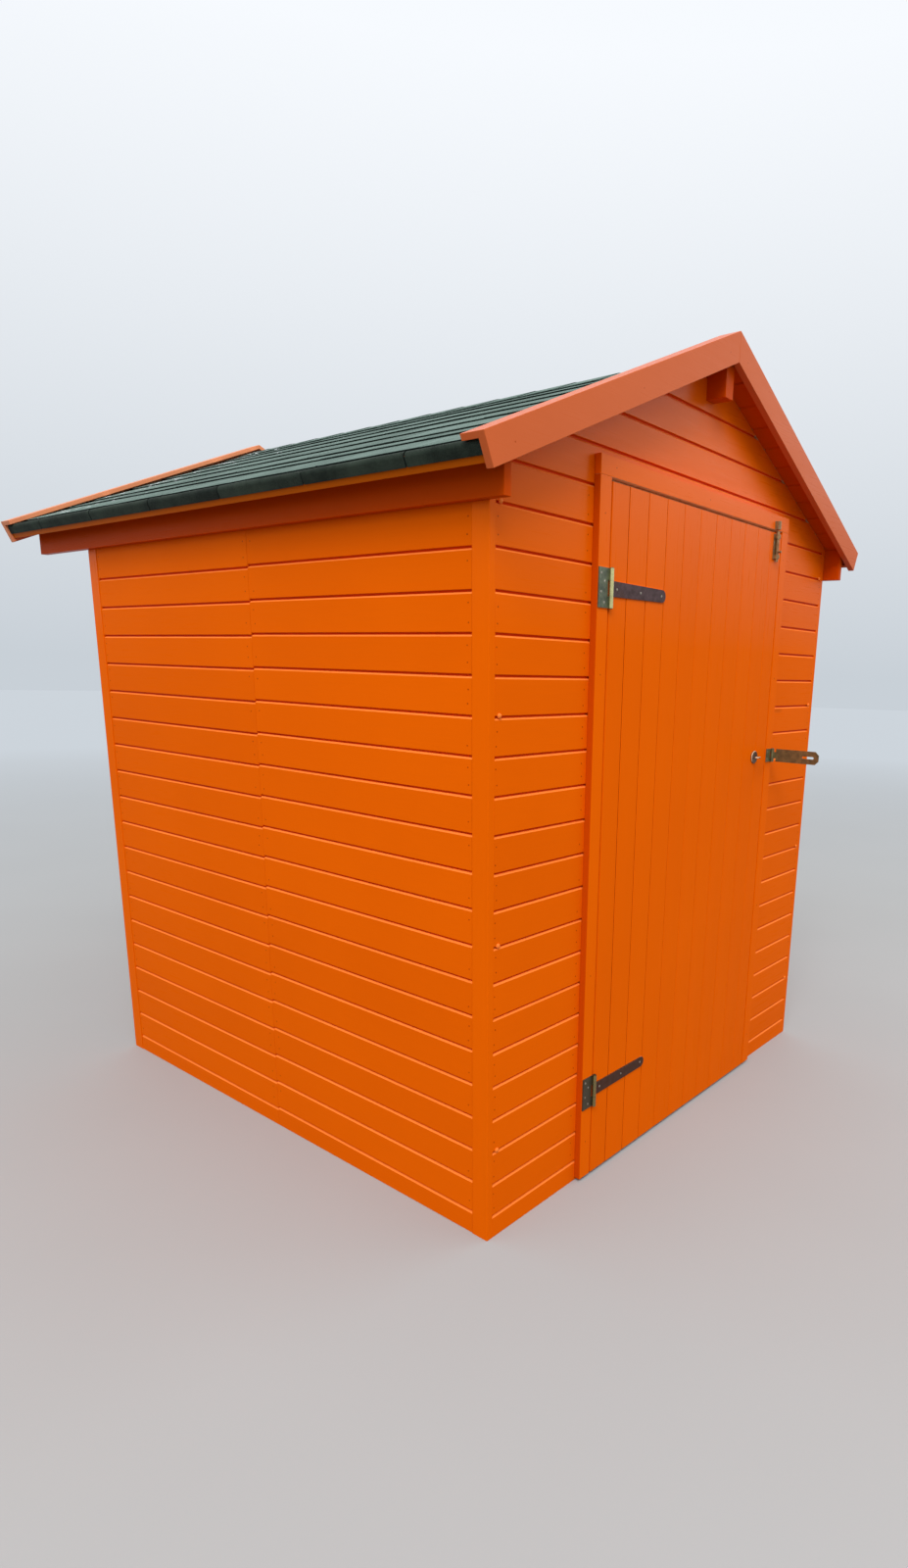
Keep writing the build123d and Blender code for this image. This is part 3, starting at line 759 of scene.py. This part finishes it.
def make_walls():
    make_end_wall("front", True, ("front_wall_left", "front_wall_right", "front_gable"))
    make_end_wall("rear", False, ("rear_wall",))
    for wall in ("left", "right"):
        make_side_panel(wall, "front", (TRIM_GAP, PANEL_GAP), 0.0)
        make_side_panel(wall, "rear", (PANEL_GAP, TRIM_GAP), REAR_PANEL_DROP)


# Door
def plank_side(edge, seam, inwards):
    """Edge of a door plank from its back to its face, stepped where it meets another plank."""
    lip = edge + inwards * seam / 2
    points = [(PLANK_CHAMFER, lip), (0, edge + inwards * (PLANK_CHAMFER + seam / 2))]
    if seam:
        points = [(PLANK_SEAM_D, edge), (PLANK_SEAM_D, lip)] + points
    return points


def make_door():
    low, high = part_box("door_boards")
    thick = high.y - low.y

    # Faces in the seams between planks take the darker seam paint: painted shade.
    def plank_finish(one, two, middle):
        if min(one[0], two[0]) > thick / 2:
            return 1
        return 2 if PLANK_SEAM_D / 2 < max(one[0], two[0]) < thick / 2 else 0

    def place(depth, across, up):
        return (across, low.y + depth, up)

    half = PLANK_SEAMS // 2
    seams = [(k + 0.5) * PLANK_COVER for k in range(-half, half)]
    edges = [low.x] + seams + [high.x]
    shut = PLANK_SEAMS - OPEN_SEAMS
    widths = [0.0] + [OPEN_SEAM_W] * OPEN_SEAMS + [PLANK_SEAM_W] * shut + [0.0]
    bm = bmesh.new()
    for k in range(len(edges) - 1):
        left, right = edges[k], edges[k + 1]
        outline = [(thick, left)] + plank_side(left, widths[k], 1)
        outline += plank_side(right, widths[k + 1], -1)[::-1] + [(thick, right)]
        outline = pushed_in(outline, random.uniform(0.0, PLANK_PROUD), thick)
        tone = random.uniform(*PLANK_TONES)
        add_prism(bm, outline, (low.z, high.z), place, tone, plank_finish)
    coats = [paint_z, timber_z, seam_painted_shade]
    piece("door_planks", bm, coats, "door", ("door_boards",))


# Roof covering
deck_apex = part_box("roof_deck_right")[1].z
felt_low, felt_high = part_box("shingles_right")
felt_top = (felt_high.z - deck_apex) * cos(ROOF_PITCH)  # above the roof boards, square to them
eave_along = (felt_high.x - felt_top * sin(ROOF_PITCH)) / cos(ROOF_PITCH)
apex_to_hem = felt_high.z - eave_along * sin(ROOF_PITCH) - felt_low.z
fold_h = apex_to_hem / cos(ROOF_PITCH)


def slope_place(side):
    """Turns height above the roof boards, length down the slope and Y into a point."""

    def place(height, along, y):
        x = along * cos(ROOF_PITCH) + height * sin(ROOF_PITCH)
        z = deck_apex - along * sin(ROOF_PITCH) + height * cos(ROOF_PITCH)
        return (side * x, y, z)

    return place


def tabs(front, rear, offset):
    """Ends of the tabs in one course."""
    cuts = [front]
    at = front + offset
    while at < rear - SHORTEST_TAB:
        if at > front + SHORTEST_TAB:
            cuts.append(at)
        at += TAB_W
    return list(zip(cuts, cuts[1:] + [rear]))


def tab_outline(head, head_top, butt):
    """Section of a tab down the slope: height, length and how far it lifts with the wave."""
    foot = felt_top - SHINGLE_BUTT
    return [
        (FELT_SEAT, head, 0.0),
        (foot, butt - TAB_END, 0.6),
        (foot, butt, 1.0),
        (felt_top - TAB_EDGE_H, butt, 1.0),
        (felt_top, butt - TAB_EDGE_L, 1.0),
        (head_top, head, 0.0),
    ]


def make_shingles(side, name):
    low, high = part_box(f"shingles_{name}")
    place = slope_place(side)
    cut_sides = ((1, 2), (2, 3))
    gap = TAB_GAP / 2
    bm = bmesh.new()
    butt = eave_along
    for course, shows in enumerate(COURSES[:-1]):
        butt -= shows
        height_shown = COURSES[course + 1]
        head = max(butt - height_shown - COURSE_LAP, RIDGE_CLEAR)
        slant = SHINGLE_BUTT * (butt - head) / height_shown
        head_top = max(felt_top - slant, THINNEST_FELT)
        offset = FIRST_TAB + (TAB_W / 2 if course % 2 else 0.0)
        for start, end in tabs(low.y, high.y, offset):
            shift = random.uniform(-TAB_SHIFT, TAB_SHIFT)
            tone = random.uniform(*TAB_TONES)
            outline = tab_outline(head, head_top, butt + shift)
            add_strip(bm, outline, start + gap, end - gap, place, tone, cut_sides, TAB_WAVE)
    coats = [felt, felt_cut_and_shade]
    piece(f"shingle_courses_{name}", bm, coats, "shed", (f"shingles_{name}",))


def make_fold(side, name):
    """The felt strip that is folded down over the edge of the roof boards, in a far darker copy of the
    felt: painted shade.
    """
    low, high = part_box(f"shingles_{name}")
    place = slope_place(side)
    nose = eave_along
    hem = felt_top - fold_h
    head = nose - COURSES[0] - FOLD_UNDER
    covered = felt_top - SHINGLE_BUTT - FOLD_DIP_H
    inner = nose - FELT_T / 2
    outline = [(covered, head, 0.0), (covered, nose - COURSES[0] - FOLD_DIP_L, 0.0)]
    for i in range(FOLD_STEPS + 1):
        angle = i / FOLD_STEPS * pi / 2
        height = felt_top - FOLD_ROUND + FOLD_ROUND * cos(angle)
        outline.append((height, nose - FOLD_ROUND + FOLD_ROUND * sin(angle), 0.4))
    outline += [(hem * 0.5, nose, 0.6), (hem, nose, 0.0)]
    hem_at = len(outline) - 1
    outline += [(hem, inner, 0.0), (hem * 0.5, inner, 0.6)]
    outline += [(FELT_SEAT, nose - FOLD_ROUND, 0.0), (FELT_SEAT, head, 0.0)]
    cut_sides = ((hem_at, hem_at + 1),)
    gap = FOLD_GAP / 2
    bm = bmesh.new()
    for start, end in tabs(low.y, high.y, FIRST_TAB):
        tone = random.uniform(*FOLD_TONES)
        add_strip(bm, outline, start + gap, end - gap, place, tone, cut_sides, FOLD_WAVE)
    lining = [
        (hem + LINING_RISE, inner, 0.0),
        (hem + LINING_RISE, nose - FELT_T, 0.0),
        (-LINING_DROP, nose - FELT_T, 0.0),
        (felt_top - FOLD_ROUND, inner, 0.0),
    ]
    all_sides = ((0, 1), (1, 2), (2, 3), (3, 0))
    start, end = low.y + LINING_SHORT, high.y - LINING_SHORT
    add_strip(bm, lining, start, end, place, 0.0, all_sides, 0.0)
    piece(f"eave_fold_{name}", bm, [fold_felt_painted_shade, felt_cut_and_shade], "shed")


def bare_between_walls(one, two, middle):
    """Material of a roof board's face: painted past the front and rear walls, bare between."""
    return int(wall_face["front"] < middle < wall_face["rear"])


def painted_all_over(one, two, middle):
    return 0


def roof_board_outline(start, end, thick):
    """Section of a roof board: mitred at the ridge, else chamfered at its lower edges."""
    foot = start + DECK_CHAMFER if start else thick * tan(ROOF_PITCH)
    outline = [
        (0, start),
        (0, end),
        (DECK_CHAMFER - thick, end),
        (-thick, end - DECK_CHAMFER),
        (-thick, foot),
    ]
    return outline + [(DECK_CHAMFER - thick, start)] if start else outline


def make_roof_boards(side, name):
    """Boards under the felt, painted where they reach past the walls and bare inside."""
    low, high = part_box(f"roof_deck_{name}")
    place = slope_place(side)
    eave = max(high.x, -low.x) / cos(ROOF_PITCH)
    thick = (high.z - eave * sin(ROOF_PITCH) - low.z) / cos(ROOF_PITCH)
    steps = (low.y, wall_face["front"], wall_face["rear"], high.y)
    wall_along = wall_face["right"] / cos(ROOF_PITCH)
    bm = bmesh.new()
    start = 0.0
    while start < eave:
        end = min(start + DECK_COVER, eave)
        if eave - end < DECK_COVER / 3:
            end = eave
        outline = roof_board_outline(start, end, thick)
        over_the_wall = (start + end) / 2 > wall_along
        finish = painted_all_over if over_the_wall else bare_between_walls
        add_prism(bm, outline, steps, place, random.uniform(*BOARD_TONES), finish)
        start = end
    # Past the walls the boards take the darker eave paint: painted shade under the roof.
    coats = [eave_painted_shade, timber_y]
    piece(f"roof_boards_{name}", bm, coats, "shed", (f"roof_deck_{name}",))


def cap_row(height, width, y):
    """Points across the ridge at one height above the roof boards."""
    left, right = slope_place(-1), slope_place(1)
    return [
        left(height, width, y),
        left(height, CAP_BEND, y),
        (0, y, deck_apex + height / cos(ROOF_PITCH) - CAP_APEX_DROP),
        right(height, CAP_BEND, y),
        right(height, width, y),
    ]


def make_ridge_caps():
    """Overlapping felt caps bent over the ridge."""
    low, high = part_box("ridge_felt")
    width = high.x / cos(ROOF_PITCH) - CAP_SHORT
    top = felt_top + FELT_T
    bm = bmesh.new()
    y = low.y
    while y < high.y - CAP_LAP:
        tone = random.uniform(*CAP_TONES)
        rings = []
        for at, drop in ((y, 0.0), (min(y + CAP_L + CAP_LAP, high.y), CAP_REAR_DROP)):
            over = cap_row(top - drop, width, at)
            under = cap_row(top - drop - CAP_T, width, at)
            rings.append(add_ring(bm, over + under[::-1], tone))
        join_rings(bm, *rings)
        for end in (rings[0][::-1], rings[1]):
            bm.faces.new(end).material_index = 1
        y += CAP_L
    piece("ridge_caps", bm, [felt, felt_cut_and_shade], "shed", ("ridge_felt",))


# Fastenings
def add_dome(bm, centre, normal, size, rings, sides):
    """Adds a shallow domed head on a face."""
    radius, height = size
    centre, normal = Vector(centre), Vector(normal).normalized()
    across = normal.orthogonal().normalized()
    up = normal.cross(across)

    def ring(spread, rise):
        turns = [2 * pi * k / sides for k in range(sides)]
        spokes = [across * cos(turn) + up * sin(turn) for turn in turns]
        return [bm.verts.new(centre + spoke * spread + normal * rise) for spoke in spokes]

    angles = [i / rings * pi / 2 for i in range(rings)]
    rows = [ring(radius, -HEAD_FOOT)]
    rows += [ring(radius * cos(angle), height * sin(angle)) for angle in angles]
    for one, two in zip(rows[:-1], rows[1:]):
        join_rings(bm, one, two)
    tip = bm.verts.new(centre + normal * height)
    for k in range(sides):
        bm.faces.new((rows[-1][k], rows[-1][(k + 1) % sides], tip))
    bm.faces.new(rows[0][::-1])


def make_heads(name, places, normal, size, material, body, rings=2, sides=10):
    """A piece of many nail or screw heads on one face direction."""
    bm = bmesh.new()
    for centre in places:
        add_dome(bm, centre, normal, size, rings, sides)
    piece(name, bm, [material], body)


def make_nail_heads(name, places, normal=FORWARD):
    make_heads(name, places, normal, NAIL, nail_paint, "shed")


def make_screw_heads(name, places, size, body):
    make_heads(name, places, FORWARD, size, screw_zinc, body)


def scattered(rows, heights):
    """Nail places near a grid, with some nails hidden under the paint."""
    stray_across, stray_up = NAIL_STRAY
    for row in rows:
        for height in heights:
            across = random.uniform(-stray_across, stray_across)
            up = random.uniform(-stray_up, stray_up)
            if random.random() < NAILS_SEEN:
                yield row + across, height + up


def make_wall_nails():
    """Painted nail heads, two to a board near the ends of the walls' boards."""
    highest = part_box("left_wall_front")[1].z - BOARD_COVER
    heights = []
    at = FIRST_GROOVE
    while at < highest:
        heights += [at + rise for rise in NAIL_RISES]
        at += BOARD_COVER
    trim_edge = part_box("left_wall_front")[0].y
    rear_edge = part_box("left_wall_rear")[1].y
    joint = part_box("left_wall_front")[1].y
    side_rows = [
        trim_edge + NAIL_FROM_TRIM,
        joint - NAIL_FROM_JOINT,
        joint + NAIL_FROM_JOINT,
        rear_edge - NAIL_FROM_TRIM,
    ]
    for wall, sign in (("left", -1), ("right", 1)):
        places = [(wall_face[wall], y, z) for y, z in scattered(side_rows, heights)]
        make_nail_heads(f"{wall}_nails", places, (sign, 0, 0))
    post_edges = (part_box("door_post_left")[0].x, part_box("door_post_right")[1].x)
    inner_rows = {
        "front": [post_edges[0] - NAIL_FROM_POST, post_edges[1] + NAIL_FROM_POST],
        "rear": [-REAR_STUD_X, 0.0, REAR_STUD_X],
    }
    for wall, sign in (("front", -1), ("rear", 1)):
        rows = [end_wall[0] + NAIL_FROM_END, end_wall[1] - NAIL_FROM_END] + inner_rows[wall]
        places = [(x, wall_face[wall], z) for x, z in scattered(rows, heights)]
        make_nail_heads(f"{wall}_nails", places, (0, sign, 0))


def make_surround_nails():
    """Nails in the door's posts and header, and in the ends of the front bargeboards."""
    post_low, post_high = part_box("door_post_left")
    header_low, header_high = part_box("door_header")
    middle = (post_low.x + post_high.x) / 2
    header_z = (header_low.z + header_high.z) / 2
    places = [(x, post_low.y, z) for z in POST_NAIL_HEIGHTS for x in (middle, -middle)]
    places += [(x, header_low.y, header_z) for x in HEADER_NAILS_X]
    make_nail_heads("surround_nails", places)
    barge_low, barge_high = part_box("bargeboard_front_left")
    rise = tan(ROOF_PITCH + BARGE_STEEPER)
    places = []
    for run in BARGE_NAILS_X:
        z = barge_high.z - run * rise - BARGE_NAIL_DROP
        places += [(-run, barge_low.y, z), (run, barge_low.y, z)]
    make_nail_heads("barge_nails", places)


def make_corner_screws():
    """Painted heads of the screws that hold the end walls to the side walls, in the lighter lip paint:
    a painted highlight.
    """
    heights = [FIRST_GROOVE + count * BOARD_COVER for count in CORNER_SCREW_GROOVES]
    ends = (end_wall[0] + CORNER_SCREW_IN, end_wall[1] - CORNER_SCREW_IN)
    for wall, sign in (("front", -1), ("rear", 1)):
        places = [(x, wall_face[wall], z) for x in ends for z in heights]
        make_heads(
            f"{wall}_corner_screws",
            places,
            (0, sign, 0),
            CORNER_SCREW,
            lip_painted_highlight,
            "shed",
            rings=4,
            sides=16,
        )


def make_screws():
    """Zinc screws in the hinges, the bolt and the hasp."""
    plate_low, plate_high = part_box("hinge_plates")
    strap_low, strap_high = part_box("hinge_straps")
    leaf_y = plate_high.y - HINGE_LEAF_T
    axis_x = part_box("hinge_pins")[0].x + PIN_HEAD_R
    plates, straps = [], []
    for z in (strap_low.z + STRAP_H / 2, strap_high.z - STRAP_H / 2):
        plates += [(plate_low.x + x, leaf_y, z + up) for x, up in PLATE_SCREWS]
        straps += [(axis_x + x, leaf_y, z) for x in STRAP_SCREWS]
    make_screw_heads("plate_screws", plates, HINGE_SCREW, "shed")
    make_screw_heads("strap_screws", straps, HINGE_SCREW, "door")
    low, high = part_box("bolt_plate")
    heights = (low.z + BOLT_SCREW_UP, high.z - BOLT_SCREW_UP)
    sides = (low.x + BOLT_SCREW_IN, high.x - BOLT_SCREW_IN)
    places = [(x, high.y - BOLT_PLATE_T, z) for x in sides for z in heights]
    make_screw_heads("bolt_screws", places, BOLT_SCREW, "door")
    low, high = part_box("hasp_leaf")
    x, y, z = low.x + HASP_SCREW_IN, high.y - HASP_LEAF_T, (low.z + high.z) / 2
    places = [(x, y, z + up) for up in (HASP_SCREW_UP, -HASP_SCREW_UP)]
    make_screw_heads("hasp_screws", places, HASP_SCREW, "shed")


# Timber and metal of the CAD with eased edges
def facing(direction):
    """Picks the faces that look in a direction."""
    return lambda face: face.normal.dot(Vector(direction)) > FACING


def make_painted_timber():
    timbers = {
        "corner_trims_front": paint_z,
        "corner_trims_rear": paint_z,
        "door_post_right": paint_z,
        # The ridge beam, eaves plates and fascias take darker copies of the orange paint: painted shade
        # under the roof.
        "ridge_beam": eave_painted_shade,
        "eaves_plate_left": eave_painted_shade,
        "eaves_plate_right": eave_painted_shade,
        "eave_fascias": fascia_painted_shade,
        # The front bargeboards take the paler, pinker paint: painted sky sheen.
        "bargeboard_front_left": barge_painted_sheen,
        "bargeboard_front_right": barge_painted_sheen,
        "bargeboard_rear_left": bleached_paint,
        "bargeboard_rear_right": bleached_paint,
    }
    for node, material in timbers.items():
        dressed(node, [material], "shed", TIMBER_ROUND)
    partly = {
        # The left post's outer side takes the darker paint: painted shade.
        "door_post_left": ([paint_z, post_side_painted_shade], facing((-1, 0, 0))),
        # The header's bare underside takes the paler timber: painted light.
        "door_header": ([paint_x, timber_painted_light], facing((0, 0, -1))),
    }
    for node, (coats, finish) in partly.items():
        dressed(node, coats, "shed", TIMBER_ROUND, finish)


def make_bare_timber():
    # The door head's front, seen through the gap over the door, takes the paler timber: painted light.
    coats = [timber_x, timber_painted_light]
    dressed("door_head", coats, "shed", TIMBER_ROUND, facing((0, -1, 0)))
    timbers = {
        "front_studs": (timber_z, "shed"),
        "side_studs": (timber_z, "shed"),
        "rear_studs": (timber_z, "shed"),
        "bottom_rails": (timber_x, "shed"),
        "top_rails": (timber_y, "shed"),
        "door_ledges": (timber_x, "door"),
        "door_braces": (timber_x, "door"),
    }
    for node, (material, body) in timbers.items():
        dressed(node, [material], body, TIMBER_ROUND)


def make_metal():
    metals = {
        "hinge_pins": (zinc, "shed"),
        "bolt_plate": (bolt_steel, "door"),
        "bolt_bar": (bolt_steel, "bolt"),
        "bolt_keep": (bolt_steel, "shed"),
        "hasp_leaf": (brass_zinc, "shed"),
        "hasp_strap": (brass_zinc, "hasp"),
    }
    for node, (material, body) in metals.items():
        dressed(node, [material], body, METAL_ROUND)

    def staple_rim_highlight(face):
        """The rim of the staple's rose, given a painted highlight on its upper side."""
        return RIM_FACING < -face.normal.y < FACING and face.normal.z > face.normal.x

    coats = [rose_steel, rim_painted_highlight]
    dressed("hasp_staple", coats, "door", METAL_ROUND, staple_rim_highlight)
    leaf_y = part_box("hinge_plates")[1].y - HINGE_LEAF_T

    def hinge_finish(face):
        """Brighter copies of the metal on the knuckles, which stand out from the leaves, and on the
        upper edges: painted highlights.
        """
        if face.calc_center_median().y < leaf_y - METAL_ROUND:
            return 1
        return 2 if face.normal.z > EDGE_FACING else 0

    for node, material, body in (
        ("hinge_plates", zinc, "shed"),
        ("hinge_straps", brown_steel, "door"),
    ):
        coats = [material, knuckle_painted_highlight, rim_painted_highlight]
        dressed(node, coats, body, METAL_ROUND, hinge_finish)


# Stage, light and camera
def make_floor():
    bm = bmesh.new()
    bmesh.ops.create_circle(bm, cap_ends=True, segments=96, radius=FLOOR_R)
    mesh = bpy.data.meshes.new("floor")
    bm.to_mesh(mesh)
    bm.free()
    mesh.materials.append(stage_floor("floor_paint"))
    floor = bpy.data.objects.new("floor", mesh)
    bpy.context.scene.collection.objects.link(floor)


def make_backdrop():
    """A plain sky that grows paler from the horizon up."""
    world = bpy.data.worlds.new("studio")
    bpy.context.scene.world = world
    world.use_nodes = True
    sky = Nodes(world.node_tree)
    direction = sky.node("ShaderNodeTexCoord").outputs["Generated"]
    height = sky.range(sky.axis(direction, "Z"), 0.0, ZENITH_FROM, 0.0, 1.0)
    background = sky.tree.nodes["Background"]
    sky.put(background.inputs["Color"], sky.mix(height, HORIZON, ZENITH))
    sky.put(background.inputs["Strength"], 1.0)


def add_soft_box(name, size, watts, place, target):
    lamp = bpy.data.lights.new(name, "AREA")
    lamp.shape = "RECTANGLE"
    lamp.size, lamp.size_y = size
    lamp.energy = watts
    soft_box = bpy.data.objects.new(name, lamp)
    soft_box.location = place
    soft_box.rotation_euler = (target - place).to_track_quat("-Z", "Y").to_euler()
    bpy.context.scene.collection.objects.link(soft_box)


def make_camera():
    forward = Vector(
        (sin(CAMERA_YAW) * cos(CAMERA_PITCH), cos(CAMERA_YAW) * cos(CAMERA_PITCH), sin(CAMERA_PITCH))
    )
    level = Vector((cos(CAMERA_YAW), -sin(CAMERA_YAW), 0))
    above = level.cross(forward)
    right = cos(CAMERA_ROLL) * level + sin(CAMERA_ROLL) * above
    up = cos(CAMERA_ROLL) * above - sin(CAMERA_ROLL) * level
    data = bpy.data.cameras.new("camera")
    long_side = max(PHOTO_SIZE)
    data.sensor_width = SENSOR_MM
    data.lens = SENSOR_MM * FOCAL_PX / long_side
    data.shift_x = (PHOTO_SIZE[0] / 2 - AXIS_PX[0]) / long_side
    data.shift_y = (AXIS_PX[1] - PHOTO_SIZE[1] / 2) / long_side
    data.clip_start = 0.02
    camera = bpy.data.objects.new("camera", data)
    rotation = Matrix((right, up, -forward)).transposed()
    camera.matrix_world = Matrix.Translation(CAMERA_AT) @ rotation.to_4x4()
    bpy.context.scene.collection.objects.link(camera)
    bpy.context.scene.camera = camera


make_walls()
make_door()
for roof_side, roof_name in ((-1, "left"), (1, "right")):
    make_shingles(roof_side, roof_name)
    make_fold(roof_side, roof_name)
    make_roof_boards(roof_side, roof_name)
make_ridge_caps()
make_painted_timber()
make_bare_timber()
make_metal()
make_wall_nails()
make_surround_nails()
make_corner_screws()
make_screws()
make_floor()
make_backdrop()
add_soft_box("key_box", **KEY_BOX)
add_soft_box("front_box", **FRONT_BOX)
make_camera()
bpy.context.scene.view_settings.view_transform = "Standard"
